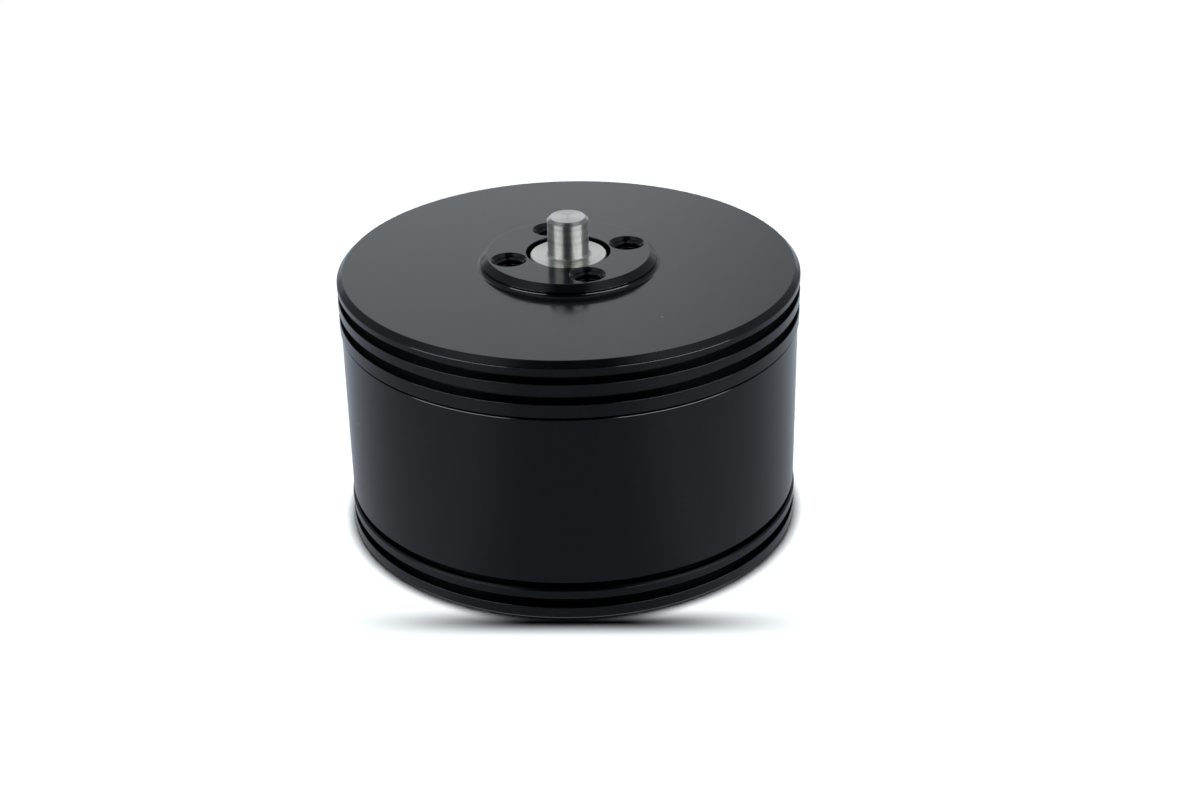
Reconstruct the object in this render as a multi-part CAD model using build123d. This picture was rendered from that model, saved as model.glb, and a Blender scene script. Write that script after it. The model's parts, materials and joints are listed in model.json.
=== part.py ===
from build123d import *
import os
from math import asin, cos, degrees, pi, radians, sin, tan

# Housed brushless motor with an inner rotor. Millimetres, +Z along the shaft.
# The origin is on the shaft axis, in the rear face that the motor stands on.

# Casing
body_r = 45.0             # both covers
body_len = 53.2           # rear face to the flat front face
can_inset = 0.25          # the tube is this much smaller in radius than the covers
can_wall = 3.0
front_skirt = 11.1        # front face down to the seam with the tube
rear_rim = 7.57           # rear face up to the tube's end
front_plate = 7.0
rear_plate = 6.0
spigot_len = 4.0
spigot_wall = 5.7
rim_chamfer = 1.1
seam_chamfer = 0.3
foot_chamfer = 0.5
foot_land = 4.25          # flat foot ring inside the bolts' counterbores
rear_recess_depth = 0.8

# Turned grooves round the covers, each as its depth below or height above a face
groove_depth = 1.6
front_groove_width = 2.05
front_groove_tops = (2.21, 6.2)
rear_groove_width = 1.98
rear_groove_foot = 2.53
tube_groove_width = 1.15

# Raised boss with four tapped holes on the front
boss_height = 2.25
boss_flat_r = 15.9
boss_chamfer = 1.2
boss_root_fillet = 0.8
tap_circle_r = 12.0
tap_count = 4
tap_r = 2.5
tap_mouth_r = 3.5
tap_depth = 8.0
tap_angle = 17.0
shaft_hole_r = 8.2

# Shaft
shaft_r = 4.0
shaft_reach = 7.25        # out of the boss face
shaft_chamfer = 0.6
shaft_root_fillet = 0.6
shoulder_sink = 0.45      # shoulder's face below the boss face
shoulder_chamfer = 0.2
seat_r = 8.5              # where the rotor hub sits
collar_r = 11.0
collar_len = 2.0
rear_shoulder_r = 6.4
shaft_foot_gap = 0.4
foot_edge = 0.3

# Bearings: bore, outside, width; a ball's share of the room between bore and outside; balls
front_bore_r, front_out_r, front_width = 7.5, 12.0, 5.0
front_ball_share, front_ball_count = 0.529, 12
rear_bore_r, rear_out_r, rear_width = 5.0, 11.0, 6.0
rear_ball_share, rear_ball_count = 0.583, 8
ring_share = 0.72         # ring wall as a share of the room beside the balls
race_slack = 0.05
cage_slack = 0.1
cage_web = 0.35
cage_share = 0.56          # cage's width as a share of the room between the rings
cage_foot = 0.3            # cage's depth below the balls' centres, as a share of a ball
shield_thick = 0.25
shield_gap = 0.12
shield_inset = 0.15
pocket_roof = 1.45        # metal between the front bearing and the tapped holes
hub_wall = 4.0
rear_pocket_floor = 3.0
rear_hub_over = 1.0        # rear hub's rim above the bearing
ring_relief = 0.5
spring_height = 0.8
spring_thick = 0.4
spring_inside = 0.6        # spring's inner edge inside the outer ring's wall
spring_edge = 0.1
circlip_thick = 1.2
circlip_depth = 0.6
circlip_inside = 1.5
circlip_gap = 7.0
circlip_land = 1.2         # metal below the circlip's groove

# Stator
tooth_count = 12
stack_room_rear = 6.0     # sensor board up to the stack
stack_room_front = 9.2    # stack up to the front plate
split_ratio = 0.5988      # stator bore over the tube's inside, a motor's usual design ratio
tip_thick = 1.6
back_iron_ratio = 0.1473  # core behind the slots over the tube's inside, by the same rules
tooth_share = 0.489       # tooth's width over the pitch at the bore
slot_mouth = 2.4
liner = 0.5
end_plate = 0.6
liner_gap = 0.4           # between the two insulators, half way down the stack
wall_height = 4.2
outer_wall = 0.8
tip_setback = 0.4         # insulator's edge behind the stator bore
mouth_setback = 0.6
coil_tip_gap = 0.6
coil_back_gap = 2.0
coil_build = 3.5
coil_half_width = 8.2
coil_corner = 3.0
coil_gap = 0.3

# Rotor
pole_count = 14
magnet_thick = 2.6
magnet_overhang = 0.5
magnet_gap = 0.6
yoke_thick = 3.35
air_gap = 0.65
sleeve_thick = 0.32
hub_web_edge = 1.9        # metal beside the hub's holes
hub_web_count = 6
key_width = 5.0
key_height = 5.0
key_end = 2.0             # key's end inside the hub's face
key_sink = 3.0
key_top_gap = 0.2
shaft_ring_thick = 1.0
shaft_ring_depth = 0.4
shaft_ring_out_r = 10.6
shaft_ring_gap = 6.0

# Sensor board
board_gap = 1.6           # rear bearing's hub up to the board
board_thick = 1.6
board_in_r = 13.0
board_edge_gap = 1.0
post_r = 2.6
post_edge = 4.0           # post's centre inside the board's edge
post_count = 3
post_angle = 60.0          # half way between two sensors
sensor_count = 3
board_screw_r = 1.0
board_screw_head_r = 1.9
board_screw_head = 1.2
board_screw_bite = 4.5
board_screw_run_out = 0.5
board_screw_slack = 0.15
sensor_body = (1.6, 4.1, 3.0)
sensor_leg = 0.45
sensor_leg_len = 1.6
sensor_leg_pitch = 1.27
sensor_leg_bury = 0.2
terminal_circle_r = 18.5
terminal_r = 1.1
terminal_height = 2.4
terminal_step_angle = 18.0
terminal_angle = 38.0
terminal_count = 3
terminal_flange = 0.6
terminal_neck_r = 0.7

# Long bolts from the rear cover into the front cover
bolt_count = 4
bolt_edge = 3.55          # bolt's centre inside the tube's wall
bolt_r = 1.5
bolt_tip_room = 2.8       # bolt's end below the front plate
bolt_head_r = 2.75
bolt_head = 3.0
bolt_head_sink = 0.4
bolt_hole_slack = 0.2
bolt_socket = 2.5
bolt_socket_depth = 1.5
bolt_tap_run_out = 1.0

# Seals and the cable grommet
seal_width = 1.8
seal_depth = 1.2
seal_corner = 0.5
grommet_angle = 8.0
grommet_body = (18.8, 5.6)
grommet_lip = 0.8
grommet_lip_thick = 1.0
grommet_flush = 0.15
grommet_inner_lip = 2.0
wire_bore_r = 1.6
signal_bore_r = 1.9
wire_pitch = 4.3

# Clearances between pieces
fit_gap = 0.02
cut_over = 2.0            # how far a cutting shape runs past what it cuts
bury = 0.1                # how far two shapes of one piece run into each other
slip_gap = 0.05
thread_gap = 0.05
rubber_gap = 0.05

# Heights and radii that follow from the sizes above
boss_z = body_len + boss_height
seam_z = body_len - front_skirt
can_out_r = body_r - can_inset
can_in_r = can_out_r - can_wall
spigot_r = can_in_r - slip_gap
spigot_in_r = spigot_r - spigot_wall
front_plate_z = body_len - front_plate
front_spigot_z = seam_z - spigot_len
rear_spigot_z = rear_rim + spigot_len
front_ball_r = front_ball_share * (front_out_r - front_bore_r) / 2
rear_ball_r = rear_ball_share * (rear_out_r - rear_bore_r) / 2
front_pocket_z = boss_z - tap_depth - pocket_roof
front_bearing_z = front_pocket_z - front_width
rear_bearing_z = rear_pocket_floor + spring_height
rear_bearing_top = rear_bearing_z + rear_width
shaft_foot_z = rear_pocket_floor + shaft_foot_gap
shoulder_z = boss_z - shoulder_sink
shaft_end_z = boss_z + shaft_reach
board_z = rear_bearing_top + rear_hub_over + board_gap
board_top = board_z + board_thick
stack_z = board_top + stack_room_rear
stack_top = front_plate_z - stack_room_front
stack_len = stack_top - stack_z
stack_mid = (stack_z + stack_top) / 2
bore_r = split_ratio * can_in_r
slot_out_r = can_in_r * (1 - back_iron_ratio)
tooth_width = tooth_share * 2 * pi * bore_r / tooth_count
coil_start = bore_r + tip_thick + coil_tip_gap
coil_stop = slot_out_r - coil_back_gap
rotor_r = bore_r - air_gap
magnet_out_r = rotor_r - sleeve_thick - fit_gap
magnet_in_r = magnet_out_r - magnet_thick
yoke_out_r = magnet_in_r - fit_gap
yoke_in_r = yoke_out_r - yoke_thick
hub_out_r = yoke_in_r - fit_gap
hub_top = stack_top - shaft_ring_thick
hub_web_circle_r = (hub_out_r + seat_r) / 2
hub_web_hole_r = (hub_out_r - seat_r) / 2 - hub_web_edge
key_len = hub_top - stack_z - 2 * key_end
board_out_r = spigot_in_r - board_edge_gap
post_circle_r = board_out_r - post_edge
sensor_circle_r = (magnet_in_r + magnet_out_r) / 2
bolt_circle_r = can_in_r - bolt_edge
bolt_seat_z = bolt_head_sink + bolt_head
bolt_len = front_plate_z - bolt_tip_room - bolt_seat_z
rear_recess_r = bolt_circle_r - bolt_head_r - bolt_hole_slack - foot_land
grommet_z = (rear_spigot_z + stack_z) / 2
grommet_start = can_in_r - grommet_body[0] / 2


def disc(r, z0, z1):
    return extrude(Pos(0, 0, z0) * Circle(r), amount=z1 - z0)


def ring(r_in, r_out, z0, z1):
    return extrude(Pos(0, 0, z0) * (Circle(r_out) - Circle(r_in)), amount=z1 - z0)


def turned(points):
    """Revolve a closed outline of (radius, height) points about the shaft axis."""
    outline = make_face(Plane.XZ * Polyline(*points, close=True))
    return revolve(outline, Axis.Z, 360)


def around(shape, count, start=0.0):
    """Copies of a shape, evenly spaced about the shaft axis."""
    return [Rot(0, 0, start + i * 360 / count) * shape for i in range(count)]


def at(r, z, turn=0.0):
    """A place at a radius, height and angle about the shaft axis."""
    return Rot(0, 0, turn) * Pos(r, 0, z)


def seal_groove(z0):
    return ring(spigot_r - seal_depth, spigot_r + cut_over, z0, z0 + seal_width)


def tapped_hole():
    """Blind tapped hole at its minor diameter, with a countersunk mouth and a flat floor."""
    sink = tap_mouth_r - tap_r
    floor = boss_z - tap_depth
    hole = turned([(0, floor), (tap_r, floor), (tap_r, boss_z - sink), (tap_mouth_r, boss_z),
                   (tap_mouth_r, boss_z + cut_over), (0, boss_z + cut_over)])
    return Pos(tap_circle_r, 0, 0) * hole


def front_cover():
    outside = [(shaft_hole_r, boss_z), (boss_flat_r, boss_z),
               (boss_flat_r + boss_chamfer, boss_z - boss_chamfer),
               (boss_flat_r + boss_chamfer, body_len), (body_r - rim_chamfer, body_len),
               (body_r, body_len - rim_chamfer), (body_r, seam_z + seam_chamfer),
               (body_r - seam_chamfer, seam_z), (spigot_r, seam_z),
               (spigot_r, front_spigot_z), (spigot_in_r, front_spigot_z),
               (spigot_in_r, front_plate_z), (front_out_r + hub_wall, front_plate_z),
               (front_out_r + hub_wall, front_bearing_z - circlip_thick - circlip_land),
               (front_out_r + fit_gap, front_bearing_z - circlip_thick - circlip_land),
               (front_out_r + fit_gap, front_pocket_z),
               (front_out_r - ring_wall(front_bore_r, front_out_r, front_ball_r), front_pocket_z),
               (front_out_r - ring_wall(front_bore_r, front_out_r, front_ball_r),
                front_pocket_z + ring_relief),
               (shaft_hole_r, front_pocket_z + ring_relief)]
    cover = turned(outside)
    boss_foot = cover.edges().filter_by(GeomType.CIRCLE).filter_by(
        lambda e: abs(e.radius - boss_flat_r - boss_chamfer) < 1e-6
        and abs(e.center().Z - body_len) < 1e-6)
    cover = fillet(boss_foot, min(boss_root_fillet, 0.9 * (boss_height - boss_chamfer)))
    for top in front_groove_tops:
        z1 = body_len - top
        cover -= ring(body_r - groove_depth, body_r + cut_over, z1 - front_groove_width, z1)
    cover -= seal_groove(front_spigot_z + (spigot_len - seal_width) / 2)
    cover -= ring(front_out_r - cut_over, front_out_r + circlip_depth,
                  front_bearing_z - circlip_thick - slip_gap, front_bearing_z - fit_gap)
    cover -= around(tapped_hole(), tap_count, tap_angle)
    tap_top = bolt_seat_z + bolt_len + bolt_tap_run_out
    bolt_tap = Pos(bolt_circle_r, 0, 0) * disc(bolt_r + thread_gap, front_spigot_z - cut_over, tap_top)
    cover -= around(bolt_tap, bolt_count, 360 / bolt_count / 2)
    return cover


def can_tube():
    tube = turned([(can_in_r, rear_rim), (can_out_r - seam_chamfer, rear_rim),
                   (can_out_r, rear_rim + seam_chamfer), (can_out_r, seam_z - seam_chamfer),
                   (can_out_r - seam_chamfer, seam_z), (can_in_r, seam_z)])
    return tube - grommet_shape(rubber_gap, rubber_gap)


def board_post():
    post = disc(post_r, rear_plate - bury, board_z - slip_gap)
    return Pos(post_circle_r, 0, 0) * post


def rear_cover():
    hub_r = rear_out_r + hub_wall
    outside = [(0, rear_recess_depth), (rear_recess_r, rear_recess_depth), (rear_recess_r, 0),
               (body_r - foot_chamfer, 0), (body_r, foot_chamfer), (body_r, rear_rim),
               (spigot_r, rear_rim), (spigot_r, rear_spigot_z), (spigot_in_r, rear_spigot_z),
               (spigot_in_r, rear_plate), (hub_r, rear_plate), (hub_r, rear_bearing_top + rear_hub_over),
               (rear_out_r + fit_gap, rear_bearing_top + rear_hub_over),
               (rear_out_r + fit_gap, rear_pocket_floor), (0, rear_pocket_floor)]
    cover = turned(outside)
    cover -= ring(body_r - groove_depth, body_r + cut_over, rear_groove_foot,
                  rear_groove_foot + rear_groove_width)
    cover -= ring(body_r - groove_depth, body_r + cut_over, rear_rim - tube_groove_width,
                  rear_rim + cut_over)
    shoulder = cover.edges().filter_by(GeomType.CIRCLE).filter_by(
        lambda e: abs(e.radius - body_r) < 1e-6
        and abs(e.center().Z - rear_rim + tube_groove_width) < 1e-6)
    cover = chamfer(shoulder, seam_chamfer)
    cover -= seal_groove(rear_rim + (spigot_len - seal_width) / 2)
    cover += around(board_post(), post_count, post_angle)
    hole_foot = board_z - board_screw_bite - board_screw_run_out
    screw_hole = disc(board_screw_r + thread_gap, hole_foot, board_z + cut_over)
    cover -= around(Pos(post_circle_r, 0, 0) * screw_hole, post_count, post_angle)
    through = disc(bolt_r + bolt_hole_slack, -cut_over, rear_spigot_z + cut_over)
    counterbore = disc(bolt_head_r + bolt_hole_slack, -cut_over, bolt_seat_z)
    cover -= around(Pos(bolt_circle_r, 0, 0) * (through + counterbore),
                    bolt_count, 360 / bolt_count / 2)
    return cover


def seal(z0):
    """Seal ring as it lies squeezed in its groove."""
    depth = seal_depth + slip_gap - 2 * fit_gap
    width = seal_width - 2 * slip_gap
    section = Pos(spigot_r - seal_depth + fit_gap + depth / 2, z0 + seal_width / 2) * RectangleRounded(
        depth, width, seal_corner)
    return revolve(Plane.XZ * section, Axis.Z, 360)


def through_bolts():
    shank = disc(bolt_r, bolt_seat_z - bury, bolt_seat_z + bolt_len)
    head = disc(bolt_head_r, bolt_head_sink, bolt_seat_z)
    across_corners = bolt_socket / cos(radians(30))
    socket = extrude(Pos(0, 0, bolt_head_sink) * RegularPolygon(across_corners / 2, 6),
                     amount=bolt_socket_depth)
    bolt = Pos(bolt_circle_r, 0, 0) * (shank + head - socket)
    return around(bolt, bolt_count, 360 / bolt_count / 2)


def stadium(width, height, y0, y1):
    """Bar along +X with round ends in its section, between two radii."""
    section = Plane.YZ * SlotOverall(width, height)
    return extrude(Pos(y0, 0, grommet_z) * section, amount=y1 - y0)


def grommet_shape(gap, flush_gap):
    """The grommet's outline; a gap above zero gives the hole that it sits in."""
    width, height = grommet_body
    lip_r = can_out_r - grommet_lip_thick
    body = stadium(width + 2 * gap, height + 2 * gap, grommet_start, can_out_r + cut_over)
    lip = stadium(width + 2 * (grommet_lip + gap), height + 2 * (grommet_lip + gap),
                  grommet_start, can_out_r + cut_over) - disc(lip_r - gap, 0, body_len)
    inner_limit = can_in_r - grommet_inner_lip
    shape = body - disc(inner_limit, 0, body_len) + lip
    if gap == 0:
        inner_lip = stadium(width + 2 * grommet_lip, height + 2 * grommet_lip,
                            grommet_start, can_out_r + cut_over)
        shape += inner_lip & ring(inner_limit, can_in_r - rubber_gap, 0, body_len)
        shape &= disc(can_out_r - flush_gap, 0, body_len)
    return Rot(0, 0, grommet_angle) * shape


def cable_grommet():
    bores = []
    radii = (wire_bore_r, wire_bore_r, wire_bore_r, signal_bore_r)
    for i, r in enumerate(radii):
        side = (i - (len(radii) - 1) / 2) * wire_pitch
        bore = extrude(Pos(grommet_start, side, grommet_z) * (Plane.YZ * Circle(r)),
                       amount=can_out_r + cut_over - grommet_start)
        bores.append(Rot(0, 0, grommet_angle) * bore)
    return grommet_shape(0, grommet_flush) - bores


def tooth_angles():
    pitch = 360 / tooth_count
    return [pitch / 2 + i * pitch for i in range(tooth_count)]


def bar(r0, r1, width, turn):
    """Flat bar in the plane, from one radius to another, at an angle."""
    return Rot(0, 0, turn) * (Pos((r0 + r1) / 2, 0) * Rectangle(r1 - r0, width))


def stator_core():
    slots = Circle(slot_out_r) - Circle(bore_r + tip_thick)
    slots -= [bar(bore_r, slot_out_r + cut_over, tooth_width, a) for a in tooth_angles()]
    pitch = 360 / tooth_count
    mouths = [bar(bore_r - cut_over, bore_r + tip_thick + cut_over, slot_mouth, a + pitch / 2)
              for a in tooth_angles()]
    sheet = Circle(can_in_r - fit_gap) - Circle(bore_r) - slots - mouths
    core = extrude(Pos(0, 0, stack_z) * sheet, amount=stack_len)
    hole = Pos(bolt_circle_r, 0, 0) * disc(bolt_r + bolt_hole_slack, stack_z - cut_over,
                                            stack_top + cut_over)
    return core - around(hole, bolt_count, 360 / bolt_count / 2)


def insulator():
    """End insulator: a plate on the stack's end, walls that hold the coils, and slot liners."""
    gap = slip_gap
    tip_r = bore_r + tip_thick
    wide = tooth_width + 2 * (liner + gap)
    pitch = 360 / tooth_count
    wall_in_r = slot_out_r - outer_wall - gap
    teeth = [bar(bore_r + tip_setback, slot_out_r - gap - outer_wall / 2, wide, a) for a in tooth_angles()]
    mouths = [bar(bore_r - cut_over, tip_r + cut_over, slot_mouth + mouth_setback, a + pitch / 2)
              for a in tooth_angles()]
    tips = Circle(tip_r) - Circle(bore_r + tip_setback) - mouths
    outer = Circle(slot_out_r - gap) - Circle(wall_in_r)
    plate = extrude(Pos(0, 0, stack_top) * (outer + tips + teeth), amount=end_plate)
    walls = extrude(Pos(0, 0, stack_top + end_plate) * (outer + tips), amount=wall_height - end_plate)
    depth = stack_len / 2 - liner_gap / 2
    start = tip_r + gap
    stop = wall_in_r
    sides = []
    for a in tooth_angles():
        for side in (-1, 1):
            y = side * (tooth_width / 2 + gap + liner / 2)
            strip = Pos((start + stop) / 2, y) * Rectangle(stop - start, liner)
            sides.append(Rot(0, 0, a) * extrude(Pos(0, 0, stack_top) * strip, amount=-depth))
    return plate + walls + sides


def rear_insulator():
    return mirror(insulator(), Plane.XY.offset(stack_mid))


def coil():
    """One winding round a tooth on +X, tapered to the slot it shares with its neighbours."""
    open_y = 2 * (tooth_width / 2 + liner + 2 * slip_gap)
    open_z = stack_len + 2 * (end_plate + slip_gap)
    outer = RectangleRounded(2 * coil_half_width, open_z + 2 * coil_build, coil_corner)
    inner = Rectangle(open_y, open_z)
    body = extrude(Pos(coil_start, 0, stack_mid) * (Plane.YZ * (outer - inner)),
                   amount=coil_stop - coil_start)
    half = radians(360 / tooth_count / 2)
    reach = coil_stop + cut_over
    apex = coil_gap / sin(half)
    wedge = make_face(Polyline((apex, 0), (reach, (reach - apex) * tan(half)),
                               (reach, -(reach - apex) * tan(half)), close=True))
    return body & extrude(Pos(0, 0, stack_z - stack_len) * wedge, amount=3 * stack_len)


def phase_coils(first):
    """Pairs of neighbouring teeth, opposite each other, carry one phase."""
    one = coil()
    angles = tooth_angles()
    half_turn = tooth_count // 2
    picks = (first, first + 1, first + half_turn, first + half_turn + 1)
    return [Rot(0, 0, angles[i]) * one for i in picks]


def shaft():
    profile = [(0, shaft_foot_z), (rear_bore_r - fit_gap - foot_edge, shaft_foot_z),
               (rear_bore_r - fit_gap, shaft_foot_z + foot_edge),
               (rear_bore_r - fit_gap, rear_bearing_top), (rear_shoulder_r, rear_bearing_top),
               (rear_shoulder_r, stack_z - collar_len), (collar_r, stack_z - collar_len),
               (collar_r, stack_z), (seat_r, stack_z), (seat_r, front_bearing_z),
               (front_bore_r - fit_gap, front_bearing_z),
               (front_bore_r - fit_gap, shoulder_z - shoulder_chamfer),
               (front_bore_r - fit_gap - shoulder_chamfer, shoulder_z), (shaft_r, shoulder_z),
               (shaft_r, shaft_end_z - shaft_chamfer), (shaft_r - shaft_chamfer, shaft_end_z),
               (0, shaft_end_z)]
    body = turned(profile)
    root = body.edges().filter_by(GeomType.CIRCLE).filter_by(
        lambda e: abs(e.radius - shaft_r) < 1e-6 and abs(e.center().Z - shoulder_z) < 1e-6)
    body = fillet(root, shaft_root_fillet)
    body -= key_box(slip_gap)
    body -= ring(seat_r - shaft_ring_depth, seat_r + cut_over, hub_top + fit_gap,
                 hub_top + fit_gap + shaft_ring_thick + slip_gap)
    return body


def key_box(gap):
    """The key's space, turned with its flat foot in the shaft."""
    foot = seat_r - key_sink
    mid_z = stack_z + (hub_top - stack_z) / 2
    box = Box(key_height, key_width + 2 * gap, key_len + 2 * gap)
    return Pos(foot + key_height / 2, 0, mid_z) * box


def shaft_key():
    return Pos(slip_gap, 0, 0) * key_box(0)


def rotor_hub():
    hub = ring(seat_r + fit_gap, hub_out_r, stack_z + slip_gap, hub_top)
    keyway_top = seat_r - key_sink + key_height + slip_gap + key_top_gap
    keyway = Box(2 * keyway_top, key_width + 2 * slip_gap, 2 * stack_len)
    keyway = (Pos(0, 0, stack_mid) * keyway) & (Pos(keyway_top, 0, stack_mid)
                                                * Box(2 * keyway_top, key_width * 3, 2 * stack_len))
    hole = disc(hub_web_hole_r, stack_z - cut_over, stack_top + cut_over)
    holes = around(Pos(hub_web_circle_r, 0, 0) * hole, hub_web_count, 180 / hub_web_count)
    return hub - keyway - holes


def open_ring(r_in, r_out, z0, thick, gap):
    """Retaining ring with its gap on +X and plier holes beside the gap."""
    shape = ring(r_in, r_out, z0, z0 + thick)
    shape -= Pos((r_in + r_out) / 2, 0, z0 + thick / 2) * Box(2 * (r_out - r_in), gap, 2 * thick)
    hole_r = (r_out - r_in) / 5
    mid_r = (r_in + r_out) / 2
    turn = degrees(asin((gap / 2 + 2.5 * hole_r) / mid_r))
    for side in (-1, 1):
        shape -= at(mid_r, 0, side * turn) * disc(hole_r, z0 - cut_over, z0 + cut_over)
    return shape


def hub_retaining_ring():
    return open_ring(seat_r - shaft_ring_depth + fit_gap, shaft_ring_out_r,
                     hub_top + 2 * fit_gap, shaft_ring_thick, shaft_ring_gap)


def bearing_circlip():
    return open_ring(front_out_r - circlip_inside, front_out_r + circlip_depth - slip_gap,
                     front_bearing_z - circlip_thick - fit_gap, circlip_thick - fit_gap, circlip_gap)


def rotor_yoke():
    return ring(yoke_in_r, yoke_out_r, stack_z - magnet_overhang + fit_gap,
                stack_top + magnet_overhang - fit_gap)


def magnets(first):
    """Every second arc magnet of the rotor."""
    arc = ring(magnet_in_r, magnet_out_r, stack_z - magnet_overhang, stack_top + magnet_overhang)
    half = radians(180 / pole_count)
    apex = magnet_gap / 2 / sin(half)
    reach = magnet_out_r + cut_over
    wedge = make_face(Polyline((apex, 0), (reach, (reach - apex) * tan(half)),
                               (reach, -(reach - apex) * tan(half)), close=True))
    arc &= extrude(wedge, amount=body_len)
    return around(arc, pole_count // 2, first * 360 / pole_count)


def magnet_sleeve():
    return ring(magnet_out_r + fit_gap, rotor_r, stack_z - magnet_overhang,
                stack_top + magnet_overhang)


def ring_wall(bore, out, ball):
    """Wall of a bearing ring, from the room that the balls leave."""
    return (out - bore) / 2 - ball * ring_share


def race(pitch_r, ball, z):
    """The ring-shaped track that the balls run in."""
    section = Pos(pitch_r, z) * Circle(ball + race_slack)
    return revolve(Plane.XZ * section, Axis.Z, 360)


def bearing(bore, out, width, ball, count, z0):
    """A shielded ball bearing as its separate pieces."""
    mid = z0 + width / 2
    pitch = (bore + out) / 2
    wall = ring_wall(bore, out, ball)
    track = race(pitch, ball, mid)
    outer = ring(out - wall, out, z0, z0 + width) - track
    inner = ring(bore, bore + wall, z0, z0 + width) - track
    ball_shape = Pos(pitch, 0, mid) * Sphere(ball)
    balls = around(ball_shape, count)
    pocket = Pos(pitch, 0, mid) * Sphere(ball + cage_slack)
    top = mid + ball + cage_slack + cage_web
    room = (out - bore) / 2 - wall
    cage = ring(pitch - room * cage_share / 2, pitch + room * cage_share / 2, mid - ball * cage_foot, top)
    cage -= around(pocket, count)
    low_z = z0 + shield_inset
    high_z = z0 + width - shield_inset - shield_thick
    low = ring(bore + wall + shield_gap, out - wall - fit_gap, low_z, low_z + shield_thick)
    high = ring(bore + wall + shield_gap, out - wall - fit_gap, high_z, high_z + shield_thick)
    return outer, inner, balls, cage, [low, high]


def preload_spring():
    """Coned disc spring between the rear pocket's floor and the rear bearing."""
    in_r = rear_out_r - ring_wall(rear_bore_r, rear_out_r, rear_ball_r) - spring_inside
    out_r = rear_out_r - spring_edge
    z0 = rear_pocket_floor + fit_gap
    z1 = rear_bearing_z - fit_gap
    return turned([(in_r, z0), (out_r, z1 - spring_thick), (out_r, z1), (in_r, z0 + spring_thick)])


def sensor_board():
    board = ring(board_in_r, board_out_r, board_z, board_top)
    hole = Pos(post_circle_r, 0, 0) * disc(board_screw_r + board_screw_slack, board_z - cut_over,
                                           board_top + cut_over)
    return board - around(hole, post_count, post_angle)


def hall_sensors():
    deep, wide, high = sensor_body
    foot = board_top + slip_gap
    body = Pos(0, 0, foot + sensor_leg_len + high / 2) * Box(deep, wide, high)
    for i in (-1, 0, 1):
        leg = Box(sensor_leg, sensor_leg, sensor_leg_len + sensor_leg_bury)
        body += Pos(0, i * sensor_leg_pitch, foot + (sensor_leg_len + sensor_leg_bury) / 2) * leg
    return around(Pos(sensor_circle_r, 0, 0) * body, sensor_count)


def board_screws():
    head_z = board_top + fit_gap
    screw = disc(board_screw_r, board_z - board_screw_bite, head_z + board_screw_head / 2)
    head = disc(board_screw_head_r, head_z, head_z + board_screw_head)
    return around(Pos(post_circle_r, 0, 0) * (screw + head), post_count, post_angle)


def phase_terminals():
    """Three turned solder pins, side by side, that the phase leads end on."""
    z0 = board_top + fit_gap
    z1 = z0 + terminal_height
    pin = turned([(0, z0), (terminal_r, z0), (terminal_r, z0 + terminal_flange),
                  (terminal_neck_r, z0 + terminal_flange), (terminal_neck_r, z1 - terminal_flange),
                  (terminal_r, z1 - terminal_flange), (terminal_r, z1), (0, z1)])
    turns = [terminal_angle + i * terminal_step_angle for i in range(terminal_count)]
    return [at(terminal_circle_r, 0, turn) * pin for turn in turns]


def build():
    front = bearing(front_bore_r, front_out_r, front_width, front_ball_r, front_ball_count,
                    front_bearing_z)
    rear = bearing(rear_bore_r, rear_out_r, rear_width, rear_ball_r, rear_ball_count,
                   rear_bearing_z)
    nodes = {
        "front_cover": front_cover(),
        "can_tube": can_tube(),
        "rear_cover": rear_cover(),
        "front_seal": seal(front_spigot_z + (spigot_len - seal_width) / 2),
        "rear_seal": seal(rear_rim + (spigot_len - seal_width) / 2),
        "through_bolts": through_bolts(),
        "cable_grommet": cable_grommet(),
        "stator_core": stator_core(),
        "front_insulator": insulator(),
        "rear_insulator": rear_insulator(),
        "coils_phase_u": phase_coils(0),
        "coils_phase_v": phase_coils(2),
        "coils_phase_w": phase_coils(4),
        "sensor_board": sensor_board(),
        "hall_sensors": hall_sensors(),
        "board_screws": board_screws(),
        "phase_terminals": phase_terminals(),
        "shaft": shaft(),
        "shaft_key": shaft_key(),
        "rotor_hub": rotor_hub(),
        "hub_retaining_ring": hub_retaining_ring(),
        "rotor_yoke": rotor_yoke(),
        "magnets_north": magnets(0),
        "magnets_south": magnets(1),
        "magnet_sleeve": magnet_sleeve(),
        "bearing_circlip": bearing_circlip(),
        "preload_spring": preload_spring(),
    }
    pieces = ("outer_ring", "inner_ring", "balls", "cage", "shields")
    for place, parts in (("front", front), ("rear", rear)):
        for name, shape in zip(pieces, parts):
            nodes[f"{place}_bearing_{name}"] = shape
    return nodes


def save(nodes):
    os.makedirs("parts", exist_ok=True)
    for name, shape in nodes.items():
        if isinstance(shape, list):
            shape = Compound(children=[s.solid() if not isinstance(s, Solid) else s for s in shape])
        export_step(shape, f"parts/{name}.step")


save(build())
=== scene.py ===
"""Looks of a housed brushless motor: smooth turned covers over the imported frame, a finish for
every node, a white floor, soft studio light and the camera. Metres, +Z along the shaft."""
import json
import math

import bmesh
import bpy
import numpy as np
from mathutils import Matrix, Vector


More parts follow.
